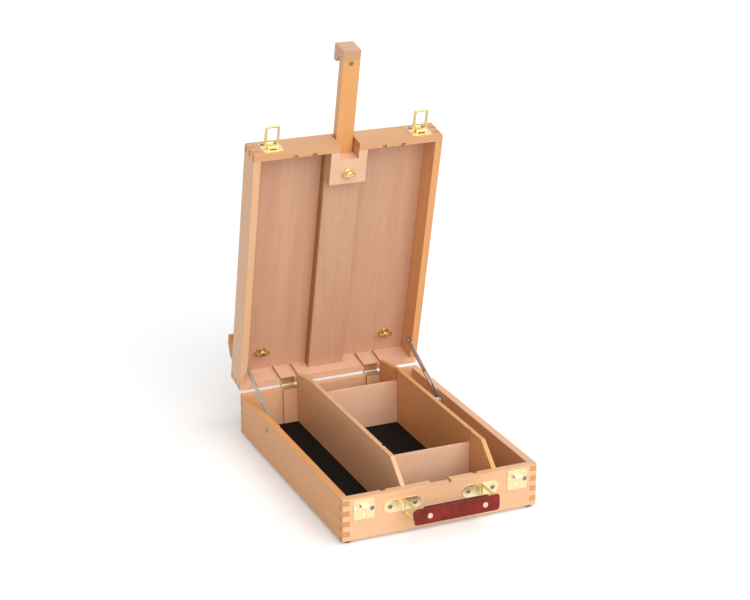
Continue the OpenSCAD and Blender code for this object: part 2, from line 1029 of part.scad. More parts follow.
// The bolt through the base wall, its round head outside
module stay_bolt_node(sign) {
    color(steel)
        translate([sign * in_x, stay_bolt[1], stay_bolt[2]])
            rotate([0, sign * 90, 0])
                rotate_extrude()
                    polygon([[0, 0], [bolt_r, 0], [bolt_r, wall], [3.8, wall], [3.2, wall + 1.1], [0, wall + 1.6]]);
}

module stay_bolt_left() {
    stay_bolt_node(-1);
}

module stay_bolt_right() {
    stay_bolt_node(1);
}

// The knurled nut that clamps an arm, with the stub that rides in the slot
module stay_nut(sign) {
    color(steel)
        translate([sign * (in_x - hair), stay_bolt[1], stay_bolt[2]])
            rotate([0, -sign * 90, 0])
                rotate_extrude()
                    polygon([[0, 0], [bolt_r, 0], [bolt_r, arm_gap + arm_t], [6, arm_gap + arm_t],
                        [6, arm_gap + arm_t + 1], [4.6, arm_gap + arm_t + 1.2], [4.6, arm_gap + arm_t + 6],
                        [4, arm_gap + arm_t + 6.6], [0, arm_gap + arm_t + 6.6]]);
}

module stay_nut_left() {
    stay_nut(-1);
}

module stay_nut_right() {
    stay_nut(1);
}

base_front();
base_back();
base_left();
base_right();
base_bottom();
base_lining();
feet();
hinge_base_leaf_left();
hinge_base_leaf_right();
hinge_pins();
keeper_left();
keeper_right();
handle_plate_left();
handle_plate_right();
front_screws();
stay_bolt_left();
stay_bolt_right();
handle_ring_left();
handle_ring_right();
leather_grip();
grip_rivets();
divider_left();
divider_right();
cross_board_front();
cross_board_rear();
lid_front();
lid_back();
lid_left();
lid_right();
lid_panel();
mast_battens();
mast_cover();
clamp_block();
clamp_screw();
mast();
mast_hook();
hook_screw();
canvas_ledge();
ledge_studs();
wing_nut_left();
wing_nut_right();
hinge_lid_leaf_left();
hinge_lid_leaf_right();
latch_plate_left();
latch_plate_right();
latch_screws();
latch_lever_left();
latch_lever_right();
latch_loop_left();
latch_loop_right();
stay_pivot_left();
stay_pivot_right();
stay_arm_left();
stay_arm_right();
stay_nut_left();
stay_nut_right();
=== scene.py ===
"""Dresses the pochade box: beech and plywood boards, polished brass, steel stays and a leather grip."""

from __future__ import annotations

import logging
import math
from dataclasses import dataclass, field
from enum import Enum
from itertools import product
from typing import Any, Sequence

import bmesh
import bpy
from mathutils import Matrix, Vector


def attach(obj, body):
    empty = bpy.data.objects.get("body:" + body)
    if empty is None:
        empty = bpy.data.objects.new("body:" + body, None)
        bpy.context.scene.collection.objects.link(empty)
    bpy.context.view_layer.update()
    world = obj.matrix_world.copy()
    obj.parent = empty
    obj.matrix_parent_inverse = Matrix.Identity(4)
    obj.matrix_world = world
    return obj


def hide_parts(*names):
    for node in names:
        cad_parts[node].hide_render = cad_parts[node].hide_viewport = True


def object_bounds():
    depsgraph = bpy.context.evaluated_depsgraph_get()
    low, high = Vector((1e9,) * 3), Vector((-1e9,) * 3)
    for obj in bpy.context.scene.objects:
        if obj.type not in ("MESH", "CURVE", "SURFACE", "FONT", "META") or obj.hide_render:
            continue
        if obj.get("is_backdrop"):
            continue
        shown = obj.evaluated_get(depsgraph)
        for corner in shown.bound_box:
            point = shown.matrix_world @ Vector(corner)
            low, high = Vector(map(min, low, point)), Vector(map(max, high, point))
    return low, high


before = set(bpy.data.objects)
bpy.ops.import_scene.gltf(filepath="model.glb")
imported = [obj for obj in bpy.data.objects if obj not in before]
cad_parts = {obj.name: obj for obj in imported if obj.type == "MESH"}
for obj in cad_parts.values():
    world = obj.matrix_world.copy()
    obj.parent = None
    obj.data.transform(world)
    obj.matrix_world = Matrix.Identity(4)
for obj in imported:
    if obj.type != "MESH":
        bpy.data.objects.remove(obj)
CAD_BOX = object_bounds()

log = logging.getLogger("pochade_box")

Colour = tuple[float, float, float, float]
MM = 0.001
SIDES = (("left", -1), ("right", 1))
LATCH_X = 106.0 * MM
HANDLE_X = 54.0 * MM
HINGE_X = 63.5 * MM
LID_ANGLE = math.radians(77.0)
HINGE = Vector((0.0, 0.1876, 0.0612))
LID = (
    Matrix.Translation(HINGE)
    @ Matrix.Rotation(-LID_ANGLE, 4, "X")
    @ Matrix.Translation(-HINGE)
)


class Wiring:
    """A node tree with short ways to add nodes and wires."""

    def __init__(self, tree: bpy.types.NodeTree) -> None:
        """Starts work on a tree.

        Args:
            tree: The node tree of a material, world or group.
        """
        self.tree = tree

    def add(
        self,
        kind: str,
        props: dict[str, Any] | None = None,
        sockets: dict[str | int, Any] | None = None,
    ) -> bpy.types.Node:
        """Adds a shader node.

        Args:
            kind: The node's type without its ShaderNode prefix.
            props: Attributes of the node.
            sockets: Input values, or output sockets to wire in.

        Returns:
            The new node.
        """
        node = self.tree.nodes.new("ShaderNode" + kind)
        for key, value in (props or {}).items():
            setattr(node, key, value)
        for key, value in (sockets or {}).items():
            self.feed(value, node.inputs[key])
        return node

    def feed(self, value: Any, socket: bpy.types.NodeSocket) -> None:
        """Wires an output into a socket, or sets the socket's own value."""
        if isinstance(value, bpy.types.NodeSocket):
            self.tree.links.new(value, socket)
        else:
            socket.default_value = value

    def calc(self, operation: str, *terms: Any) -> bpy.types.NodeSocket:
        """Adds a Math node.

        Args:
            operation: The node's operation, such as MULTIPLY.
            terms: One to three numbers or sockets.

        Returns:
            The node's output.
        """
        node = self.add("Math", {"operation": operation}, dict(enumerate(terms)))
        return node.outputs[0]

    def blend(self, share: Any, first: Any, second: Any) -> bpy.types.NodeSocket:
        """Mixes two colours.

        Args:
            share: How much of the second colour shows.
            first: Colour or socket.
            second: Colour or socket.

        Returns:
            The mixed colour.
        """
        node = self.add("Mix", {"data_type": "RGBA"}, {0: share, 6: first, 7: second})
        return node.outputs[2]

    def span(self, value: Any, low: float, high: float) -> bpy.types.NodeSocket:
        """Maps a span of a value smoothly to 0 to 1.

        Args:
            value: The socket to map.
            low: What becomes 0.
            high: What becomes 1.

        Returns:
            The mapped value.
        """
        sockets = {"Value": value, "From Min": low, "From Max": high}
        return self.add("MapRange", {"interpolation_type": "SMOOTHSTEP"}, sockets).outputs[0]

    def stretched(self, vector: Any, scale: Sequence[float]) -> bpy.types.NodeSocket:
        """Multiplies a vector by a constant, one factor for each axis."""
        node = self.add("VectorMath", {"operation": "MULTIPLY"}, {0: vector, 1: tuple(scale)})
        return node.outputs[0]

    def noise(
        self, vector: Any, detail: float, distortion: float = 0.0, scale: float = 1.0
    ) -> bpy.types.NodeSocket:
        """Adds a noise texture.

        Args:
            vector: Where the noise is read.
            detail: Octaves of the noise.
            distortion: How far the noise is bent.
            scale: Size of the noise.

        Returns:
            The noise value.
        """
        sockets = {"Vector": vector, "Scale": scale, "Detail": detail, "Distortion": distortion}
        return self.add("TexNoise", None, sockets).outputs[0]

    def relief(self, height: Any, strength: float, depth: float, normal: Any = None) -> bpy.types.NodeSocket:
        """Adds a Bump node.

        Args:
            height: The height over the surface.
            strength: How much of it shows.
            depth: Its full depth in metres.
            normal: The normal that it bends, or None for the surface's own.

        Returns:
            The bent normal.
        """
        sockets = {"Strength": strength, "Distance": depth, "Height": height}
        if normal is not None:
            sockets["Normal"] = normal
        return self.add("Bump", None, sockets).outputs[0]


class SharedGroup:
    """A shader node group that is built once and placed in many materials."""

    title: str = ""
    takes: dict[str, str] = {}
    gives: dict[str, str] = {}
    kinds = {"value": "NodeSocketFloat", "colour": "NodeSocketColor", "vector": "NodeSocketVector"}

    def tree(self) -> bpy.types.NodeTree:
        """Finds the group's tree, or builds it on the first call.

        Returns:
            The group's tree.
        """
        if self.title in bpy.data.node_groups:
            return bpy.data.node_groups[self.title]
        tree = bpy.data.node_groups.new(self.title, "ShaderNodeTree")
        for name, kind in self.takes.items():
            tree.interface.new_socket(name=name, in_out="INPUT", socket_type=self.kinds[kind])
        for name, kind in self.gives.items():
            tree.interface.new_socket(name=name, in_out="OUTPUT", socket_type=self.kinds[kind])
        entry, leave = tree.nodes.new("NodeGroupInput"), tree.nodes.new("NodeGroupOutput")
        self.wire(Wiring(tree), entry.outputs, leave.inputs)
        return tree

    def wire(self, work: Wiring, entry: Any, leave: Any) -> None:
        """Builds what is inside the group.

        Args:
            work: The group's wiring.
            entry: Sockets that carry the group's inputs.
            leave: Sockets that take the group's outputs.
        """
        raise NotImplementedError

    def place(self, work: Wiring, **sockets: Any) -> Any:
        """Places the group in a material.

        Args:
            work: The material's wiring.
            sockets: Values or wires by input name.

        Returns:
            The placed group's outputs.
        """
        node = work.tree.nodes.new("ShaderNodeGroup")
        node.node_tree = self.tree()
        for name, value in sockets.items():
            work.feed(value, node.inputs[name])
        return node.outputs


class BoardGrain(SharedGroup):
    """The figure of a board: streaks and pores along the grain, rings on its sawn ends."""

    title = "board_grain"
    takes = {
        "Place": "vector",
        "Facing": "vector",
        "Pale": "colour",
        "Dark": "colour",
        "Pore": "colour",
        "EndPale": "colour",
        "EndDark": "colour",
        "Contrast": "value",
        "Pores": "value",
    }
    gives = {"Color": "colour", "Height": "value", "Tone": "value", "End": "value"}
    # Figures to a metre, along the grain and across it
    broad_scale = (2.4, 27.0, 27.0)
    streak_scale = (10.0, 230.0, 230.0)
    fine_scale = (36.0, 1250.0, 1250.0)
    pore_scale = (95.0, 1500.0, 1500.0)
    ring_scale = 110.0
    speck_scale = 900.0
    # Shares of the figures in the tone, the height and the sawn ends
    broad_tone, streak_tone, fine_tone = 0.5, 0.36, 0.14
    fine_height, streak_height, pore_height = 0.4, 0.25, -0.5
    ring_tone, speck_tone = 0.55, 0.45
    # Where noise counts as a pore, and where a face counts as a sawn end
    pore_span = (0.585, 0.67)
    end_span = (0.62, 0.82)

    def wire(self, work: Wiring, entry: Any, leave: Any) -> None:
        """Wires the figure; the grain runs along X of the place that is read."""
        place = entry["Place"]
        broad = work.noise(work.stretched(place, self.broad_scale), 3.0, 0.8)
        streak = work.noise(work.stretched(place, self.streak_scale), 5.0, 0.35)
        fine = work.noise(work.stretched(place, self.fine_scale), 3.0)
        tone = work.calc("MULTIPLY", streak, self.streak_tone)
        tone = work.calc("MULTIPLY_ADD", broad, self.broad_tone, tone)
        tone = work.calc("MULTIPLY_ADD", fine, self.fine_tone, tone)
        tone = work.calc("MULTIPLY_ADD", work.calc("SUBTRACT", tone, 0.5), entry["Contrast"], 0.5)
        tone = work.calc("MINIMUM", work.calc("MAXIMUM", tone, 0.0), 1.0)
        pore = work.span(work.noise(work.stretched(place, self.pore_scale), 2.0), *self.pore_span)
        pore = work.calc("MULTIPLY", pore, entry["Pores"])
        face = work.blend(pore, work.blend(tone, entry["Pale"], entry["Dark"]), entry["Pore"])
        rings = work.add(
            "TexWave",
            {"wave_type": "RINGS", "rings_direction": "X"},
            {
                "Vector": place, "Scale": self.ring_scale, "Distortion": 3.0, "Detail": 2.0,
                "Detail Scale": 12.0,
            },
        ).outputs[1]
        speck = work.noise(place, 3.0, 0.0, self.speck_scale)
        sawn = work.calc("MULTIPLY_ADD", rings, self.ring_tone, work.calc("MULTIPLY", speck, self.speck_tone))
        apart = work.add("SeparateXYZ", None, {0: entry["Facing"]}).outputs
        end = work.span(work.calc("ABSOLUTE", apart[0]), *self.end_span)
        work.feed(work.blend(end, face, work.blend(sawn, entry["EndPale"], entry["EndDark"])), leave["Color"])
        height = work.calc("MULTIPLY", streak, self.streak_height)
        height = work.calc("MULTIPLY_ADD", fine, self.fine_height, height)
        height = work.calc("MULTIPLY_ADD", pore, self.pore_height, height)
        work.feed(height, leave["Height"])
        work.feed(tone, leave["Tone"])
        work.feed(end, leave["End"])


class EasedEdge(SharedGroup):
    """Edges that are rounded a little, and a mask of where they are."""

    title = "eased_edge"
    takes = {"Radius": "value"}
    gives = {"Normal": "vector", "Mask": "value"}
    # Agreement of the two normals where the mask starts and where it is full
    mask_span = (0.995, 0.8)

    def wire(self, work: Wiring, entry: Any, leave: Any) -> None:
        """Compares the rounded normal with the flat one."""
        eased = work.add("Bevel", {"samples": 4}, {"Radius": entry["Radius"]}).outputs[0]
        flat = work.add("NewGeometry").outputs["Normal"]
        dot = work.add("VectorMath", {"operation": "DOT_PRODUCT"}, {0: eased, 1: flat}).outputs["Value"]
        work.feed(work.span(dot, *self.mask_span), leave["Mask"])
        work.feed(eased, leave["Normal"])


class Handling(SharedGroup):
    """Smudges and fine scratches of metal that is handled."""

    title = "handling"
    takes = {"Place": "vector"}
    gives = {"Smudge": "value", "Scratch": "value"}
    smudge_scale = (70.0, 70.0, 70.0)
    smudge_span = (0.35, 0.7)
    scratch_scale = (260.0, 2400.0, 2400.0)

    def wire(self, work: Wiring, entry: Any, leave: Any) -> None:
        """Wires a slow noise and a stretched fast one."""
        place = entry["Place"]
        smudge = work.noise(work.stretched(place, self.smudge_scale), 4.0, 0.7)
        work.feed(work.span(smudge, *self.smudge_span), leave["Smudge"])
        work.feed(work.noise(work.stretched(place, self.scratch_scale), 3.0), leave["Scratch"])


class Hide(SharedGroup):
    """The grain of leather: rounded cells, fine creases and uneven dye."""

    title = "hide"
    takes = {"Place": "vector"}
    gives = {"Height": "value", "Dye": "value"}
    cell_scale = 950.0
    crease_scale = 320.0
    dye_scale = 75.0
    bend_scale = 400.0
    bend = (0.0009, 0.0009, 0.0009)
    cell_height, crease_height = -0.7, 0.8

    def wire(self, work: Wiring, entry: Any, leave: Any) -> None:
        """Wires the cells, the creases between them and the dye."""
        place = entry["Place"]
        push = work.add("TexNoise", None, {"Vector": place, "Scale": self.bend_scale}).outputs[1]
        push = work.stretched(push, self.bend)
        bent = work.add("VectorMath", {"operation": "ADD"}, {0: place, 1: push}).outputs[0]
        cells = work.add("TexVoronoi", None, {"Vector": bent, "Scale": self.cell_scale}).outputs[0]
        crease = work.calc("MULTIPLY", work.noise(place, 4.0, 0.5, self.crease_scale), self.crease_height)
        work.feed(work.calc("MULTIPLY_ADD", cells, self.cell_height, crease), leave["Height"])
        work.feed(work.noise(place, 4.0, 0.6, self.dye_scale), leave["Dye"])


BOARD_GRAIN, EASED_EDGE, HANDLING, HIDE = BoardGrain(), EasedEdge(), Handling(), Hide()


class Run(Enum):
    """The way a board's grain runs on the closed box, as the turn that lays it along X."""

    ACROSS = (0.0, 0.0, 0.0)
    DEEP = (0.0, 0.0, -math.pi / 2)
    UP = (0.0, math.pi / 2, 0.0)


def rgb(red: float, green: float, blue: float) -> Colour:
    """Returns an opaque colour."""
    return red, green, blue, 1.0


def new_material(name: str) -> tuple[bpy.types.Material, Wiring, bpy.types.Node]:
    """Makes a node material with its shader.

    Args:
        name: The material's name.

    Returns:
        The material, its wiring and its Principled shader.
    """
    material = bpy.data.materials.new(name)
    material.use_nodes = True
    material.node_tree.nodes.clear()
    work = Wiring(material.node_tree)
    shader = work.add("BsdfPrincipled")
    out = work.add("OutputMaterial")
    material.node_tree.links.new(shader.outputs[0], out.inputs["Surface"])
    return material, work, shader


@dataclass(frozen=True)
class WoodFinish:
    """A kind of wood under a thin satin varnish."""

    pale: Colour
    dark: Colour
    pore: Colour
    end_pale: Colour
    end_dark: Colour
    contrast: float = 1.5
    pores: float = 0.25
    roughness: float = 0.42
    relief: float = 0.12
    depth: float = 0.4 * MM
    edge_r: float = 0.7 * MM
    edge_shade: float = 0.3
    end_roughness: float = 0.2
    gloss: float = 0.4
    cut: tuple[float, float, float] = (0.37, 0.113, 0.071)

    def material(self, name: str, run: Run, on_lid: bool, seed: int) -> bpy.types.Material:
        """Makes the material of one board.

        Args:
            name: The board's name.
            run: The way its grain runs.
            on_lid: Whether the board belongs to the tilted lid.
            seed: Picks the stretch of wood that the board is cut from.

        Returns:
            The board's material.
        """
        material, work, shader = new_material(name)
        source = work.add("TexCoord").outputs
        turn = (LID_ANGLE if on_lid else 0.0, 0.0, 0.0)
        place = work.add("Mapping", None, {"Vector": source["Object"], "Rotation": turn}).outputs[0]
        shift = tuple(step * seed for step in self.cut)
        sockets = {"Vector": place, "Rotation": run.value, "Location": shift}
        place = work.add("Mapping", None, sockets).outputs[0]
        facing = source["Normal"]
        for rotation in (turn, run.value):
            sockets = {"Vector": facing, "Rotation": rotation}
            facing = work.add("Mapping", {"vector_type": "VECTOR"}, sockets).outputs[0]
        grain = BOARD_GRAIN.place(
            work, Place=place, Facing=facing, Pale=self.pale, Dark=self.dark, Pore=self.pore,
            EndPale=self.end_pale, EndDark=self.end_dark, Contrast=self.contrast, Pores=self.pores,
        )
        edge = EASED_EDGE.place(work, Radius=self.edge_r)
        shade = work.calc("MULTIPLY", edge["Mask"], self.edge_shade)
        work.feed(work.blend(shade, grain["Color"], self.end_dark), shader.inputs["Base Color"])
        rough = work.calc("MULTIPLY_ADD", grain["Tone"], 0.1, self.roughness - 0.05)
        rough = work.calc("MULTIPLY_ADD", grain["End"], self.end_roughness, rough)
        work.feed(rough, shader.inputs["Roughness"])
        normal = work.relief(grain["Height"], self.relief, self.depth, edge["Normal"])
        work.feed(normal, shader.inputs["Normal"])
        shader.inputs["Specular IOR Level"].default_value = self.gloss
        return material


class SharedFinish:
    """A finish whose pieces all share one material."""

    name: str

    def material(self) -> bpy.types.Material:
        """Finds the finish's material, or makes it on the first call.

        Returns:
            The material.
        """
        if self.name in bpy.data.materials:
            return bpy.data.materials[self.name]
        material, work, shader = new_material(self.name)
        self.wire(work, shader.inputs)
        return material

    def wire(self, work: Wiring, takes: Any) -> None:
        """Wires the look of the finish.

        Args:
            work: The material's wiring.
            takes: The inputs of its Principled shader.
        """
        raise NotImplementedError


@dataclass(frozen=True)
class MetalFinish(SharedFinish):
    """A polished or brushed metal with the marks of handling."""

    name: str
    colour: Colour
    worn: Colour
    polish: float
    dulled: float
    scratch: float
    depth: float = 0.2 * MM
    edge_r: float = 0.45 * MM
    edge_shine: float = 0.4
    smudge: float = 0.5

    def wire(self, work: Wiring, takes: Any) -> None:
        """Wires smudges, bright edges and fine scratches."""
        marks = HANDLING.place(work, Place=work.add("TexCoord").outputs["Object"])
        edge = EASED_EDGE.place(work, Radius=self.edge_r)
        tint = work.blend(work.calc("MULTIPLY", marks["Smudge"], self.smudge), self.colour, self.worn)
        tint = work.blend(work.calc("MULTIPLY", edge["Mask"], self.edge_shine), tint, self.colour)
        work.feed(tint, takes["Base Color"])
        rough = work.calc("MULTIPLY_ADD", marks["Smudge"], self.dulled - self.polish, self.polish)
        work.feed(work.calc("MULTIPLY_ADD", marks["Scratch"], 0.08, rough), takes["Roughness"])
        takes["Metallic"].default_value = 1.0
        normal = work.relief(marks["Scratch"], self.scratch, self.depth, edge["Normal"])
        work.feed(normal, takes["Normal"])


@dataclass(frozen=True)
class HideFinish(SharedFinish):
    """Dyed leather, or the painted edge of it."""

    name: str
    pale: Colour
    dark: Colour
    roughness: float
    relief: float
    depth: float = 0.3 * MM
    dye_span: tuple[float, float] = (0.3, 0.7)
    gloss: float = 0.3

    def wire(self, work: Wiring, takes: Any) -> None:
        """Wires the dye and the grain."""
        hide = HIDE.place(work, Place=work.add("TexCoord").outputs["Object"])
        dyed = work.blend(work.span(hide["Dye"], *self.dye_span), self.pale, self.dark)
        work.feed(dyed, takes["Base Color"])
        rough = work.calc("MULTIPLY_ADD", hide["Dye"], 0.2, self.roughness - 0.1)
        work.feed(rough, takes["Roughness"])
        work.feed(work.relief(hide["Height"], self.relief, self.depth), takes["Normal"])
        takes["Specular IOR Level"].default_value = self.gloss


@dataclass(frozen=True)
class MatteFinish(SharedFinish):
    """A dull sheet or moulding: the floor lining, the feet, the thread."""

    name: str
    pale: Colour
    dark: Colour
    roughness: float
    grit: float
    cloud: float = 45.0
    relief: float = 0.25
    depth: float = 0.3 * MM
    gloss: float = 0.2

    def wire(self, work: Wiring, takes: Any) -> None:
        """Wires faint clouds and a fine grit."""
        place = work.add("TexCoord").outputs["Object"]
        cloud = work.noise(place, 4.0, 0.4, self.cloud)
        grit = work.noise(place, 3.0, 0.0, self.grit)
        work.feed(work.blend(work.span(cloud, 0.3, 0.7), self.pale, self.dark), takes["Base Color"])
        work.feed(work.calc("MULTIPLY_ADD", grit, 0.16, self.roughness - 0.08), takes["Roughness"])
        work.feed(work.relief(grit, self.relief, self.depth), takes["Normal"])
        takes["Specular IOR Level"].default_value = self.gloss


BEECH = WoodFinish(
    pale=rgb(0.86, 0.53, 0.31), dark=rgb(0.72, 0.395, 0.21), pore=rgb(0.5, 0.24, 0.115),
    end_pale=rgb(0.7, 0.365, 0.15), end_dark=rgb(0.54, 0.245, 0.085),
)
# Painted shade: a darker, more orange copy of beech on the boards whose faces turn away from the lamps (the
# base's left wall, the right divider, the lid's right wall); the canvas ledge shares it
PAINTED_SHADE_BEECH = WoodFinish(
    pale=rgb(0.83, 0.425, 0.175), dark=rgb(0.67, 0.3, 0.1), pore=rgb(0.46, 0.18, 0.06),
    end_pale=rgb(0.68, 0.345, 0.135), end_dark=rgb(0.5, 0.22, 0.07),
)
ROSY_BEECH = WoodFinish(
    pale=rgb(0.87, 0.57, 0.4), dark=rgb(0.73, 0.43, 0.275), pore=rgb(0.52, 0.27, 0.15),
    end_pale=rgb(0.68, 0.39, 0.22), end_dark=rgb(0.54, 0.28, 0.145),
)
# Painted shade: a darker copy of beech on the lid's front wall, so that its end, which faces the lamps, shows
# darker than they light it
PAINTED_SHADE_END_BEECH = WoodFinish(
    pale=rgb(0.76, 0.43, 0.22), dark=rgb(0.62, 0.31, 0.14), pore=rgb(0.44, 0.19, 0.08),
    end_pale=rgb(0.64, 0.33, 0.14), end_dark=rgb(0.48, 0.21, 0.075),
)
# Painted shadow: the battens are coloured dark brown to stand in for the shaded side of the mast cover and
# the shadow it casts on the panel
PAINTED_SHADOW_BATTEN = WoodFinish(
    pale=rgb(0.43, 0.2, 0.085), dark=rgb(0.3, 0.125, 0.048), pore=rgb(0.22, 0.08, 0.03),
    end_pale=rgb(0.4, 0.19, 0.08), end_dark=rgb(0.28, 0.12, 0.045), contrast=1.4,
)
HOOK_BEECH = WoodFinish(
    pale=rgb(0.7, 0.43, 0.27), dark=rgb(0.58, 0.33, 0.19), pore=rgb(0.42, 0.21, 0.11),
    end_pale=rgb(0.64, 0.38, 0.225), end_dark=rgb(0.52, 0.285, 0.155), contrast=1.4,
)
AMBER_BEECH = WoodFinish(
    pale=rgb(0.83, 0.43, 0.16), dark=rgb(0.68, 0.31, 0.095), pore=rgb(0.42, 0.17, 0.05),
    end_pale=rgb(0.62, 0.31, 0.115), end_dark=rgb(0.46, 0.2, 0.065), contrast=1.4,
    roughness=0.34,
)
ROSY_PLY = WoodFinish(
    pale=rgb(0.7, 0.415, 0.28), dark=rgb(0.55, 0.285, 0.175), pore=rgb(0.38, 0.16, 0.09),
    end_pale=rgb(0.48, 0.25, 0.13), end_dark=rgb(0.31, 0.14, 0.07), contrast=1.9, pores=0.3,
    roughness=0.5,
)
BRASS = MetalFinish(
    "polished_brass", colour=rgb(0.93, 0.8, 0.48), worn=rgb(0.84, 0.68, 0.36),
    polish=0.22, dulled=0.34, scratch=0.015,
)
HINGE_METAL = MetalFinish(
    "dull_hinge_metal", colour=rgb(0.56, 0.42, 0.28), worn=rgb(0.42, 0.3, 0.19),
    polish=0.42, dulled=0.52, scratch=0.03,
)
# Painted reflection: a darker brass that stands in for the dark surroundings the latch loops and levers
# reflect, which the all-white studio lacks; the ring and the clamp screw share it
PAINTED_REFLECTION_BRASS = MetalFinish(
    "painted_reflection_brass", colour=rgb(0.8, 0.64, 0.29), worn=rgb(0.56, 0.41, 0.15),
    polish=0.24, dulled=0.36, scratch=0.015,
)
# Painted shade: a darker brass for the wing nuts, which stands in for the shade on them
PAINTED_SHADE_BRASS = MetalFinish(
    "painted_shade_brass", colour=rgb(0.64, 0.47, 0.21), worn=rgb(0.44, 0.3, 0.12),
    polish=0.28, dulled=0.42, scratch=0.03,
)
SCREW_METAL = MetalFinish(
    "dark_screw_metal", colour=rgb(0.27, 0.25, 0.19), worn=rgb(0.17, 0.16, 0.12),
    polish=0.34, dulled=0.48, scratch=0.03,
)
COPPER = MetalFinish(
    "pale_copper", colour=rgb(0.92, 0.65, 0.45), worn=rgb(0.8, 0.52, 0.34),
    polish=0.26, dulled=0.38, scratch=0.02,
)
STEEL = MetalFinish(
    "stay_steel", colour=rgb(0.52, 0.515, 0.505), worn=rgb(0.34, 0.335, 0.33),
    polish=0.30, dulled=0.42, scratch=0.12,
)
LEATHER = HideFinish(
    "grip_leather", pale=rgb(0.24, 0.017, 0.006), dark=rgb(0.15, 0.009, 0.004),
    roughness=0.36, relief=0.20,
)
LEATHER_EDGE = HideFinish(
    "grip_edge_paint", pale=rgb(0.075, 0.012, 0.007), dark=rgb(0.04, 0.007, 0.005),
    roughness=0.5, relief=0.15,
)
LINING = MatteFinish(
    "black_lining", pale=rgb(0.0045, 0.0045, 0.005), dark=rgb(0.0025, 0.0025, 0.003),
    roughness=0.8, grit=1400.0,
)
FOOT = MatteFinish(
    "dark_foot", pale=rgb(0.06, 0.022, 0.014), dark=rgb(0.03, 0.012, 0.009),
    roughness=0.45, grit=900.0,
)
THREAD = MatteFinish(
    "red_thread", pale=rgb(0.12, 0.025, 0.015), dark=rgb(0.075, 0.016, 0.01),
    roughness=0.7, grit=2500.0,
)


def dress(node: str, material: bpy.types.Material) -> None:
    """Gives a node of the frame its material."""
    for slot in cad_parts[node].material_slots:
        slot.material = material


def finished_piece(
    name: str,
    work: bmesh.types.BMesh,
    materials: Sequence[bpy.types.Material],
    body: str,
    stands_for: Sequence[str] = (),
    sharp: float = 35.0,
) -> bpy.types.Object:
    """Turns a bmesh into a piece of the box.

    Args:
        name: The piece's name.
        work: The mesh in metres, in the frame's place; it is freed.
        materials: The piece's materials.
        body: The body that it rides on.
        stands_for: Nodes of the frame that it replaces.
        sharp: Edges above this angle, in degrees, stay sharp.

    Returns:
        The new object.
    """
    for face in work.faces:
        face.smooth = True
    mesh = bpy.data.meshes.new(name)
    work.to_mesh(mesh)
    work.free()
    mesh.set_sharp_from_angle(angle=math.radians(sharp))
    for material in materials:
        mesh.materials.append(material)
    piece = bpy.data.objects.new(name, mesh)
    bpy.context.scene.collection.objects.link(piece)
    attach(piece, body)
    if stands_for:
        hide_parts(*stands_for)
    log.info("%s: %d faces on %s", name, len(mesh.polygons), body)
    return piece


def only(items: Sequence[Any], kind: type) -> list[Any]:
    """Picks the items of one kind, such as vertices."""
    return [item for item in items if isinstance(item, kind)]


def rounded(
    work: bmesh.types.BMesh, geom: Sequence[Any], offset: float, segments: int, affect: str = "EDGES"
) -> None:
    """Bevels edges or corners to a round.

    Args:
        work: The mesh.
        geom: The edges, or the vertices.
        offset: Width of the bevel on each side.
        segments: Facets of the round.
        affect: EDGES or VERTICES.
    """
    bmesh.ops.bevel(
        work, geom=geom, offset=offset, offset_type="OFFSET", segments=segments, profile=0.5,
        affect=affect, material=-1,
    )


def turned(
    work: bmesh.types.BMesh, profile: Sequence[tuple[float, float]], steps: int
) -> list[bmesh.types.BMVert]:
    """Turns a profile round Z, as on a lathe.

    Args:
        work: The mesh that takes the shape.
        profile: Radius and height of each point, from axis to axis or closed.
        steps: Facets round the axis.

    Returns:
        The new vertices.
    """
    before = set(work.verts)
    points = [work.verts.new((radius, 0.0, height)) for radius, height in profile]
    edges = [work.edges.new(pair) for pair in zip(points, points[1:])]
    if profile[0][0] > 0.0 and profile[-1][0] > 0.0:
        edges.append(work.edges.new((points[-1], points[0])))
    bmesh.ops.spin(
        work, geom=points + edges, cent=(0.0, 0.0, 0.0), axis=(0.0, 0.0, 1.0), angle=2 * math.pi,
        steps=steps, use_merge=True,
    )
    new = [vert for vert in work.verts if vert not in before]
    bmesh.ops.remove_doubles(work, verts=new, dist=1e-6)
    new = [vert for vert in work.verts if vert not in before]
    faces = list({face for vert in new for face in vert.link_faces})
    bmesh.ops.recalc_face_normals(work, faces=faces)
    return new


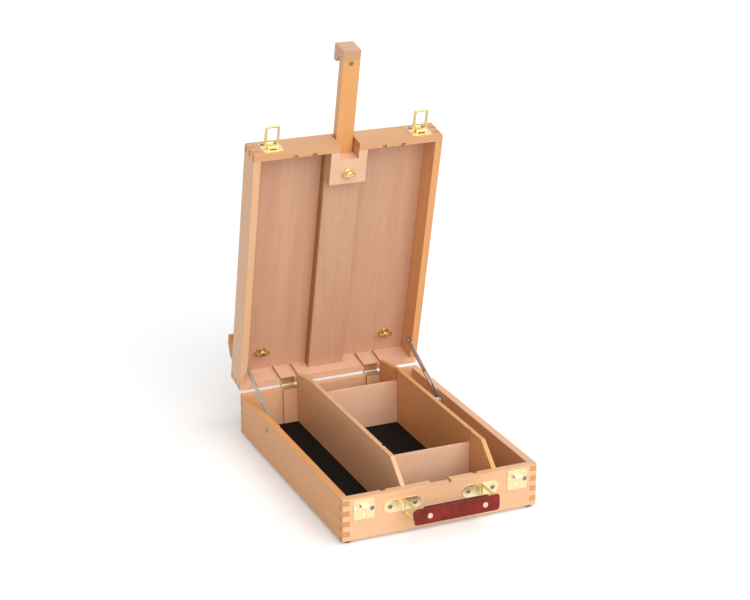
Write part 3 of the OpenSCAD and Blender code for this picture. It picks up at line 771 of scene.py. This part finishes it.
@dataclass
class Carcass:
    """The boards of base and lid, each with its own stretch of wood."""

    boards: dict[str, tuple[WoodFinish, Run, bool]] = field(default_factory=lambda: {
        "base_front": (BEECH, Run.ACROSS, False),
        "base_back": (BEECH, Run.ACROSS, False),
        "base_left": (PAINTED_SHADE_BEECH, Run.DEEP, False),
        "base_right": (BEECH, Run.DEEP, False),
        "base_bottom": (ROSY_PLY, Run.DEEP, False),
        "divider_left": (BEECH, Run.DEEP, False),
        "divider_right": (PAINTED_SHADE_BEECH, Run.DEEP, False),
        "cross_board_front": (ROSY_BEECH, Run.ACROSS, False),
        "cross_board_rear": (ROSY_BEECH, Run.ACROSS, False),
        "lid_front": (PAINTED_SHADE_END_BEECH, Run.ACROSS, True),
        "lid_back": (ROSY_BEECH, Run.ACROSS, True),
        "lid_left": (BEECH, Run.DEEP, True),
        "lid_right": (PAINTED_SHADE_BEECH, Run.DEEP, True),
        "lid_panel": (ROSY_PLY, Run.DEEP, True),
        # Painted shadow: the battens carry the dark band of the cover strip's shaded side
        "mast_battens": (PAINTED_SHADOW_BATTEN, Run.DEEP, True),
        "mast_cover": (ROSY_PLY, Run.DEEP, True),
        "clamp_block": (ROSY_BEECH, Run.ACROSS, True),
        "canvas_ledge": (PAINTED_SHADE_BEECH, Run.ACROSS, True),
        "mast": (AMBER_BEECH, Run.DEEP, True),
        "mast_hook": (HOOK_BEECH, Run.UP, True),
    })

    def build(self) -> None:
        """Dresses every board, the lining and the feet."""
        for seed, (node, (finish, run, on_lid)) in enumerate(self.boards.items(), start=1):
            dress(node, finish.material("wood_" + node, run, on_lid, seed))
        dress("base_lining", LINING.material())
        dress("feet", FOOT.material())
        log.info("carcass: %d boards", len(self.boards))


@dataclass
class Fittings:
    """The brass plates, hinges, latches, rings and nuts, and the steel stays."""

    metals: dict[str, tuple[MetalFinish, bool]] = field(default_factory=lambda: {
        "hinge_base_leaf": (HINGE_METAL, True),
        "hinge_lid_leaf": (HINGE_METAL, True),
        "hinge_pins": (HINGE_METAL, False),
        "keeper": (BRASS, True),
        "handle_plate": (BRASS, True),
        "handle_ring": (PAINTED_REFLECTION_BRASS, True),
        "grip_rivets": (COPPER, False),
        "clamp_screw": (PAINTED_REFLECTION_BRASS, False),
        "hook_screw": (SCREW_METAL, False),
        "ledge_studs": (BRASS, False),
        "wing_nut": (PAINTED_SHADE_BRASS, True),
        "latch_plate": (BRASS, True),
        "latch_lever": (PAINTED_REFLECTION_BRASS, True),
        "stay_bolt": (SCREW_METAL, True),
        "stay_pivot": (STEEL, True),
        "stay_arm": (STEEL, True),
    })

    def build(self) -> None:
        """Dresses the fittings that keep their solids."""
        for node, (metal, paired) in self.metals.items():
            for name in (f"{node}_left", f"{node}_right") if paired else (node,):
                dress(name, metal.material())
        log.info("fittings: %d kinds", len(self.metals))


@dataclass
class LatchLoops:
    """The loops of the latches: flat-sided wire, rounded at the corners, pivoted in the levers."""

    axis_y: float = -188.2 * MM
    axis_z: float = 76.4 * MM
    width: float = 21.0 * MM
    length: float = 31.0 * MM
    corner: float = 5.0 * MM
    wire: float = 3.0 * MM
    side_extra: float = 0.6 * MM
    wire_r: float = 1.5 * MM
    ease: float = 1.05 * MM

    def loop(self) -> bmesh.types.BMesh:
        """Shapes one loop on the XY plane, its pivot bar along X at the origin.

        Returns:
            The loop's mesh.
        """
        work = bmesh.new()
        bmesh.ops.create_circle(work, cap_ends=True, segments=4, radius=math.sqrt(0.5))
        upright = Matrix.Rotation(math.pi / 4, 3, "Z")
        bmesh.ops.rotate(work, cent=(0, 0, 0), matrix=upright, verts=work.verts[:])
        bmesh.ops.scale(work, vec=(self.width, self.length, 1.0), verts=work.verts[:])
        rounded(work, work.verts[:], self.corner, 7, "VERTICES")
        outer = work.faces[:]
        bmesh.ops.inset_region(
            work, faces=outer, thickness=self.wire, use_even_offset=True, use_boundary=True
        )
        inner = {vert for face in outer for vert in face.verts}
        half = self.width / 2 - self.wire
        bmesh.ops.scale(work, vec=((half - self.side_extra) / half, 1.0, 1.0), verts=list(inner))
        bmesh.ops.delete(work, geom=outer, context="FACES_ONLY")
        flat = work.faces[:] + work.edges[:] + work.verts[:]
        raised = only(bmesh.ops.extrude_face_region(work, geom=flat)["geom"], bmesh.types.BMVert)
        bmesh.ops.translate(work, vec=(0.0, 0.0, 2 * self.wire_r), verts=raised)
        bmesh.ops.recalc_face_normals(work, faces=work.faces[:])
        rims = [edge for edge in work.edges if len(edge.link_faces) == 2 and edge.calc_face_angle(0.0) > 1.2]
        rounded(work, rims, self.ease, 4)
        pivot = (0.0, self.length / 2 - self.wire_r, -self.wire_r)
        bmesh.ops.translate(work, vec=pivot, verts=work.verts[:])
        return work

    def build(self) -> None:
        """Builds both loops where they stand up from the levers."""
        for side, sign in SIDES:
            work = self.loop()
            place = Matrix.Translation((sign * LATCH_X, self.axis_y, self.axis_z))
            place @= Matrix.Rotation(math.pi, 4, "Z")
            bmesh.ops.transform(work, matrix=LID @ place, verts=work.verts[:])
            node = f"latch_loop_{side}"
            finished_piece(f"rounded_loop_{side}", work, [PAINTED_REFLECTION_BRASS.material()], node, [node])


@dataclass
class SlottedScrews:
    """Round-headed slotted screws on the plates, and flush ones in the hinge leaves."""

    head_r: float = 3.1 * MM
    head_h: float = 1.3 * MM
    slot: float = 0.42 * MM
    depth: float = 0.7 * MM
    front_y: float = -186.2 * MM
    keeper_z: float = 44.5 * MM
    keeper_side: float = 10.5 * MM
    keeper_low: float = 9.5 * MM
    keeper_half: float = 14.0 * MM
    dark_from: float = 8.0 * MM
    handle_z: float = 41.0 * MM
    handle_side: float = 17.0 * MM
    latch_z: float = 85.9 * MM
    latch_side: float = 9.5 * MM
    leaf_y: float = 180.0 * MM
    leaf_side: float = 5.5 * MM
    leaf_z_base: float = 61.0 * MM
    leaf_z_lid: float = 61.4 * MM
    flush_r: float = 0.6
    flush_h: float = 0.1
    # Radius and height of the points of a head, as shares
    dome = ((0.0, 1.0), (0.3, 0.97), (0.6, 0.85), (0.85, 0.58), (1.0, 0.16), (1.0, 0.0), (0.0, 0.0))

    def head(self, work: bmesh.types.BMesh, place: Matrix, size: float = 1.0, height: float = 1.0) -> None:
        """Adds one screw head.

        Args:
            work: The mesh that takes the head.
            place: Puts the head, which stands on the XY plane, on its plate.
            size: Scale of the head's radius.
            height: Scale of the head's height.
        """
        r, h = self.head_r * size, self.head_h * height
        verts = turned(work, [(r * share, h * level) for share, level in self.dome], 24)
        for offset in (-self.slot, -self.slot * 0.7, self.slot * 0.7, self.slot):
            verts = [vert for vert in verts if vert.is_valid]
            edges = {edge for vert in verts for edge in vert.link_edges}
            faces = {face for vert in verts for face in vert.link_faces}
            cut = bmesh.ops.bisect_plane(
                work, geom=[*verts, *edges, *faces], dist=1e-7, plane_co=(offset, 0.0, 0.0),
                plane_no=(1.0, 0.0, 0.0),
            )
            verts += [vert for vert in only(cut["geom_cut"], bmesh.types.BMVert) if vert not in verts]
        floor = max(h - self.depth * height, h * 0.2)
        for vert in verts:
            if abs(vert.co.x) < self.slot * 0.8 and vert.co.z > floor:
                vert.co.z = floor
        bmesh.ops.transform(work, matrix=place, verts=verts)

    def place(self, x: float, z: float, angle: float) -> Matrix:
        """Returns the place of a head on the front, with its slot turned by an angle in degrees."""
        return (
            Matrix.Translation((x, self.front_y, z))
            @ Matrix.Rotation(math.pi / 2, 4, "X")
            @ Matrix.Rotation(math.radians(angle), 4, "Z")
        )

    def on_base(self) -> None:
        """Builds the screws of keepers and handle plates; a keeper's are brass but for its right one."""
        work = bmesh.new()
        keeper = ((-self.keeper_side, 0.0), (self.keeper_side, 0.0), (0.0, -self.keeper_low))
        spots = [(sign * LATCH_X + dx, self.keeper_z + dz) for sign in (-1, 1) for dx, dz in keeper]
        for sign, end in product((-1, 1), repeat=2):
            spots.append((sign * HANDLE_X + end * self.handle_side, self.handle_z))
        for count, (x, z) in enumerate(spots):
            self.head(work, self.place(x, z, 37 * count % 180))
        for face in work.faces:
            x = face.calc_center_median().x
            off = x - math.copysign(LATCH_X, x)
            face.material_index = 1 if -self.keeper_half < off <= self.dark_from else 0
        metals = [SCREW_METAL.material(), BRASS.material()]
        finished_piece("plate_screws", work, metals, "base", ["front_screws"])

    def on_lid(self) -> None:
        """Builds the screws of the latch plates."""
        work = bmesh.new()
        for count, (sign, end) in enumerate(product((-1, 1), repeat=2)):
            place = self.place(sign * LATCH_X + end * self.latch_side, self.latch_z, 52 * count % 180)
            self.head(work, LID @ place)
        metals = [SCREW_METAL.material()]
        finished_piece("latch_plate_screws", work, metals, "lid", ["latch_screws"])

    def in_leaves(self, body: str, above: Matrix, z: float, flip: float) -> None:
        """Builds the flush screws of the hinge leaves on one body.

        Args:
            body: The body, base or lid.
            above: What opens the body from the closed box.
            z: Height of the leaves on the closed box.
            flip: Turn that makes the heads face the right way.
        """
        work = bmesh.new()
        for count, (sign, end) in enumerate(product((-1, 1), repeat=2)):
            place = (
                Matrix.Translation((sign * HINGE_X + end * self.leaf_side, self.leaf_y, z))
                @ Matrix.Rotation(flip, 4, "X")
                @ Matrix.Rotation(math.radians(61 * count), 4, "Z")
            )
            self.head(work, above @ place, self.flush_r, self.flush_h)
        finished_piece(f"leaf_screws_{body}", work, [HINGE_METAL.material()], body)

    def build(self) -> None:
        """Builds the screws of base, lid and hinges."""
        self.on_base()
        self.on_lid()
        self.in_leaves("base", Matrix.Identity(4), self.leaf_z_base, 0.0)
        self.in_leaves("lid", LID, self.leaf_z_lid, math.pi)


@dataclass
class KnurledNuts:
    """The steel nuts that clamp the stay arms, with a knurled rim and a stub in the arm's slot."""

    inner_x: float = 124.85 * MM
    bolt_y: float = 80.0 * MM
    bolt_z: float = 48.0 * MM
    ridges: int = 30
    groove: float = 0.93
    drum_r: float = 4.6 * MM
    drum_from: float = 2.7 * MM
    # Radius and height of the stub and the flange, in millimetres
    flange = ((0.0, 0.0), (2.0, 0.0), (2.0, 1.8), (5.8, 1.8), (6.0, 2.0), (6.0, 2.6), (5.8, 2.8), (0.0, 2.8))
    # Rise in millimetres and narrowing of each step of the drum
    drum = ((5.0, 1.0), (0.5, 0.9), (0.2, 0.8))

    def nut(self) -> bmesh.types.BMesh:
        """Shapes one nut along Z, from its stub outwards.

        Returns:
            The nut's mesh.
        """
        work = bmesh.new()
        turned(work, [(r * MM, z * MM) for r, z in self.flange], 40)
        facets = 2 * self.ridges
        rim = bmesh.ops.create_circle(work, cap_ends=True, segments=facets, radius=self.drum_r)["verts"]
        for count, vert in enumerate(sorted(rim, key=lambda v: math.atan2(v.co.y, v.co.x))):
            if count % 2:
                vert.co *= self.groove
        bmesh.ops.translate(work, vec=(0.0, 0.0, self.drum_from), verts=rim)
        face = [f for f in rim[0].link_faces if len(f.verts) == facets]
        for rise, scale in self.drum:
            grown = bmesh.ops.extrude_face_region(work, geom=face)["geom"]
            face, rim = only(grown, bmesh.types.BMFace), only(grown, bmesh.types.BMVert)
            bmesh.ops.translate(work, vec=(0.0, 0.0, rise * MM), verts=rim)
            bmesh.ops.scale(work, vec=(scale, scale, 1.0), verts=rim)
        bmesh.ops.recalc_face_normals(work, faces=work.faces[:])
        return work

    def build(self) -> None:
        """Builds the two nuts."""
        for side, sign in SIDES:
            work = self.nut()
            place = Matrix.Translation((sign * self.inner_x, self.bolt_y, self.bolt_z))
            place @= Matrix.Rotation(-sign * math.pi / 2, 4, "Y")
            bmesh.ops.transform(work, matrix=place, verts=work.verts[:])
            node = f"stay_nut_{side}"
            finished_piece(f"knurled_nut_{side}", work, [STEEL.material()], node, [node])


@dataclass
class LeatherGrip:
    """The grip: a crowned face over the whole length, backed by a strap whose ends fold round the rings."""

    centre: Vector = field(default_factory=lambda: Vector((5.3426, -216.8856, 37.0)) * MM)
    half_l: float = 54.0 * MM
    height: float = 22.0 * MM
    front: float = -4.6 * MM
    seam: float = -1.94 * MM
    back: float = 2.0 * MM
    corner: float = 4.0 * MM
    neck_l: float = 10.0 * MM
    neck_h: float = 10.2 * MM
    fold_r: float = 4.6 * MM
    eye_r: float = 1.72 * MM
    rivet_x: float = 38.0 * MM
    crown: float = 0.75 * MM
    end_fall: float = 0.5 * MM
    dip: float = 0.25 * MM
    dip_r: float = 5.0 * MM
    pitch: float = 4.2 * MM
    thread_r: float = 0.5 * MM
    stitch: tuple[float, float, float] = (2.7, 0.8, 0.75)
    slant: float = 0.12
    row: float = 0.37
    # Depth below the leather and half length of the rows, on the face and on the back
    face_rows: tuple[float, float] = (0.36 * MM, 50.0 * MM)
    back_rows: tuple[float, float] = (0.2 * MM, 41.0 * MM)

    def block(
        self, length: float, height: float, low: float, high: float, corner: float, ease: float
    ) -> bmesh.types.BMesh:
        """Returns a slab of leather with rounded corners and eased edges, centred on X and Z.

        Args:
            length: Its size along X.
            height: Its size along Z.
            low: Where it starts on Y.
            high: Where it ends on Y.
            corner: Radius of its four corners, or 0.
            ease: Radius of its long edges.

        Returns:
            The slab's mesh.
        """
        work = bmesh.new()
        bmesh.ops.create_cube(work, size=1.0)
        bmesh.ops.scale(work, vec=(length, high - low, height), verts=work.verts[:])
        bmesh.ops.translate(work, vec=(0.0, (high + low) / 2, 0.0), verts=work.verts[:])
        if corner:
            posts = [edge for edge in work.edges if abs(edge.verts[0].co.y - edge.verts[1].co.y) > 1e-5]
            rounded(work, posts, corner, 8)
        rounded(work, [edge for edge in work.edges if edge.calc_face_angle(0.0) > 1.2], ease, 4)
        return work

    def crowned(self, work: bmesh.types.BMesh) -> bmesh.types.BMesh:
        """Bends the face's front down towards its edges and round the rivets.

        Args:
            work: The slab of the face.

        Returns:
            The same mesh.
        """
        rows = [share * self.height for share in (-0.42, -0.3, -0.15, 0.0, 0.15, 0.3, 0.42)]
        cuts = [((0.0, 0.0, z), (0.0, 0.0, 1.0)) for z in rows]
        cuts += [((step * 3.0 * MM, 0.0, 0.0), (1.0, 0.0, 0.0)) for step in range(-18, 19)]
        for point, normal in cuts:
            geom = work.verts[:] + work.edges[:] + work.faces[:]
            bmesh.ops.bisect_plane(work, geom=geom, dist=1e-7, plane_co=point, plane_no=normal)
        for vert in work.verts:
            if vert.co.y > (self.front + self.seam) / 2:
                continue
            across = min(1.0, abs(vert.co.z) / (self.height / 2))
            along = max(0.0, abs(vert.co.x) - self.half_l * 0.9) / (self.half_l * 0.19)
            away = math.hypot(abs(vert.co.x) - self.rivet_x, vert.co.z)
            dip = self.dip * math.exp(-((away / self.dip_r) ** 2))
            vert.co.y += self.crown * across ** 2 + self.end_fall * min(1.0, along) ** 2 + dip
        return work

    def fold(self, work: bmesh.types.BMesh, sign: int) -> None:
        """Adds the fold of the strap round one ring, and the neck that leads to it.

        Args:
            work: The mesh that takes them.
            sign: -1 for the left end, 1 for the right.
        """
        half, rim, ease = self.neck_h / 2, self.fold_r, 0.7 * MM
        low = [(self.eye_r, -half), (rim - ease, -half)]
        low += [(rim - ease * 0.3, -half + ease * 0.3), (rim, -half + ease)]
        ring = bmesh.new()
        turned(ring, low + [(r, -z) for r, z in reversed(low)], 40)
        neck = self.block(
            self.neck_l - 1.0 * MM, self.neck_h - 0.1 * MM, self.seam, self.back, 0.0, 0.4 * MM
        )
        bmesh.ops.translate(neck, vec=(-sign * (self.neck_l / 2 + 1.4 * MM), 0.0, 0.0), verts=neck.verts[:])
        for piece in (ring, neck):
            bmesh.ops.translate(piece, vec=(sign * self.half_l, 0.0, 0.0), verts=piece.verts[:])
            self.join(work, piece)

    def join(self, work: bmesh.types.BMesh, piece: bmesh.types.BMesh) -> None:
        """Adds a mesh to another and frees it."""
        mesh = bpy.data.meshes.new("grip_layer")
        piece.to_mesh(mesh)
        piece.free()
        work.from_mesh(mesh)
        bpy.data.meshes.remove(mesh)

    def stitches(self) -> bmesh.types.BMesh:
        """Sews the rows of thread along both long edges, on both faces.

        Returns:
            The thread's mesh.
        """
        work = bmesh.new()
        (face_sink, face_reach), (back_sink, back_reach) = self.face_rows, self.back_rows
        for level, reach in ((self.front + face_sink, face_reach), (self.back - back_sink, back_reach)):
            count = int(2 * reach / self.pitch)
            for row, k in product((-1, 1), range(count + 1)):
                ball = bmesh.ops.create_uvsphere(work, u_segments=8, v_segments=6, radius=self.thread_r)
                made = ball["verts"]
                bmesh.ops.scale(work, vec=self.stitch, verts=made)
                slant = Matrix.Rotation(-self.slant * row, 3, "Y")
                bmesh.ops.rotate(work, cent=(0, 0, 0), matrix=slant, verts=made)
                spot = ((k - count / 2) * self.pitch, level, row * self.height * self.row)
                bmesh.ops.translate(work, vec=spot, verts=made)
        bmesh.ops.translate(work, vec=self.centre, verts=work.verts[:])
        return work

    def build(self) -> None:
        """Builds the leather and its thread."""
        work = bmesh.new()
        face_l = 2 * (self.half_l + self.fold_r)
        face = self.block(face_l, self.height, self.front, self.seam, self.corner, 0.8 * MM)
        self.join(work, self.crowned(face))
        back_l = 2 * (self.half_l - self.neck_l)
        self.join(work, self.block(back_l, self.height - 0.2 * MM, self.seam, self.back, 1.5 * MM, 0.7 * MM))
        for _, sign in SIDES:
            self.fold(work, sign)
        bmesh.ops.recalc_face_normals(work, faces=work.faces[:])
        for face in work.faces:
            face.material_index = 1 if abs(face.normal.z) > 0.6 else 0
        bmesh.ops.translate(work, vec=self.centre, verts=work.verts[:])
        hides = [LEATHER.material(), LEATHER_EDGE.material()]
        finished_piece("sewn_grip", work, hides, "grip", ["leather_grip"], 50.0)
        finished_piece("grip_stitches", self.stitches(), [THREAD.material()], "grip")


@dataclass
class Studio:
    """A plain pale floor, soft light and the camera of the photograph."""

    eye: Vector = field(default_factory=lambda: Vector((-0.9249, -2.1006, 1.0715)))
    ahead: Vector = field(default_factory=lambda: Vector((0.3754, 0.8622, -0.3401)))
    above: Vector = field(default_factory=lambda: Vector((0.1362, 0.3116, 0.9404)))
    focal_px: float = 1873.1
    width_px: float = 750.0
    sensor: float = 36.0
    floor_r: float = 14.0
    sky: float = 0.46
    glow: float = 0.18
    lamps: dict[str, tuple[float, float, tuple[float, float, float]]] = field(default_factory=lambda: {
        "top_lamp": (0.85, 40.0, (0.45, -0.25, 0.86)),
        "front_lamp": (1.90, 55.0, (0.02, -0.86, 0.50)),
    })

    def camera(self) -> None:
        """Places the camera."""
        data = bpy.data.cameras.new("studio_camera")
        data.sensor_fit, data.sensor_width = "HORIZONTAL", self.sensor
        data.lens = self.focal_px / self.width_px * self.sensor
        data.clip_start, data.clip_end = 0.05, 60.0
        camera = bpy.data.objects.new("studio_camera", data)
        back = -self.ahead.normalized()
        right = self.above.cross(back).normalized()
        up = back.cross(right)
        turn = Matrix((right, up, back)).transposed().to_4x4()
        camera.matrix_world = Matrix.Translation(self.eye) @ turn
        bpy.context.scene.collection.objects.link(camera)
        bpy.context.scene.camera = camera

    def floor(self) -> None:
        """Lays the pale floor, which the camera sees a little brighter than it is lit."""
        work = bmesh.new()
        bmesh.ops.create_circle(work, cap_ends=True, segments=64, radius=self.floor_r)
        mesh = bpy.data.meshes.new("floor")
        work.to_mesh(mesh)
        work.free()
        material, nodes, shader = new_material("pale_floor")
        cloud = nodes.noise(nodes.add("TexCoord").outputs["Object"], 2.0, 0.0, 3.0)
        tint = nodes.blend(cloud, rgb(0.9, 0.9, 0.9), rgb(0.92, 0.92, 0.92))
        nodes.feed(tint, shader.inputs["Base Color"])
        shader.inputs["Roughness"].default_value = 0.9
        shader.inputs["Specular IOR Level"].default_value = 0.1
        shader.inputs["Emission Color"].default_value = rgb(1.0, 1.0, 1.0)
        path = nodes.add("LightPath").outputs
        seen = nodes.calc("MAXIMUM", path["Is Camera Ray"], path["Is Glossy Ray"])
        nodes.feed(nodes.calc("MULTIPLY", seen, self.glow), shader.inputs["Emission Strength"])
        mesh.materials.append(material)
        floor = bpy.data.objects.new("floor", mesh)
        bpy.context.scene.collection.objects.link(floor)
        floor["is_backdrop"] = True

    def light(self) -> None:
        """Lights the scene with an even sky and two broad lamps."""
        world = bpy.data.worlds.new("studio")
        bpy.context.scene.world = world
        world.use_nodes = True
        world.node_tree.nodes.clear()
        work = Wiring(world.node_tree)
        path = work.add("LightPath").outputs
        shown = work.calc("MAXIMUM", path["Is Camera Ray"], path["Is Glossy Ray"])
        strength = work.calc("MULTIPLY_ADD", shown, 1.0 - self.sky, self.sky)
        sky = work.add("Background", None, {"Color": rgb(1.0, 1.0, 1.0), "Strength": strength})
        out = work.add("OutputWorld")
        world.node_tree.links.new(sky.outputs[0], out.inputs[0])
        for name, (energy, spread, towards) in self.lamps.items():
            data = bpy.data.lights.new(name, "SUN")
            data.energy, data.angle = energy, math.radians(spread)
            data.color = (1.0, 0.99, 0.975)
            lamp = bpy.data.objects.new(name, data)
            lamp.matrix_world = Vector(towards).to_track_quat("Z", "Y").to_matrix().to_4x4()
            bpy.context.scene.collection.objects.link(lamp)

    def build(self) -> None:
        """Sets up camera, floor and light, and the plain view transform."""
        self.camera()
        self.floor()
        self.light()
        bpy.context.scene.view_settings.view_transform = "Standard"
        log.info("studio: %d lamps", len(self.lamps))


def plain(box: Any) -> Any:
    """Turns vectors and arrays into lists of numbers."""
    try:
        return [plain(item) for item in box]
    except TypeError:
        return float(box)


def main() -> None:
    """Builds every part of the scene in order and works out the bounds of the frame and of the dressed scene.
    """
    logging.basicConfig(level=logging.INFO, format="%(name)s %(message)s")
    for kind in (Studio, Carcass, Fittings, LatchLoops, SlottedScrews, KnurledNuts, LeatherGrip):
        kind().build()
        log.info("%s is done", kind.__name__)
    {"cad": plain(CAD_BOX), "visual": plain(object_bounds())}


if __name__ == "__main__":
    main()
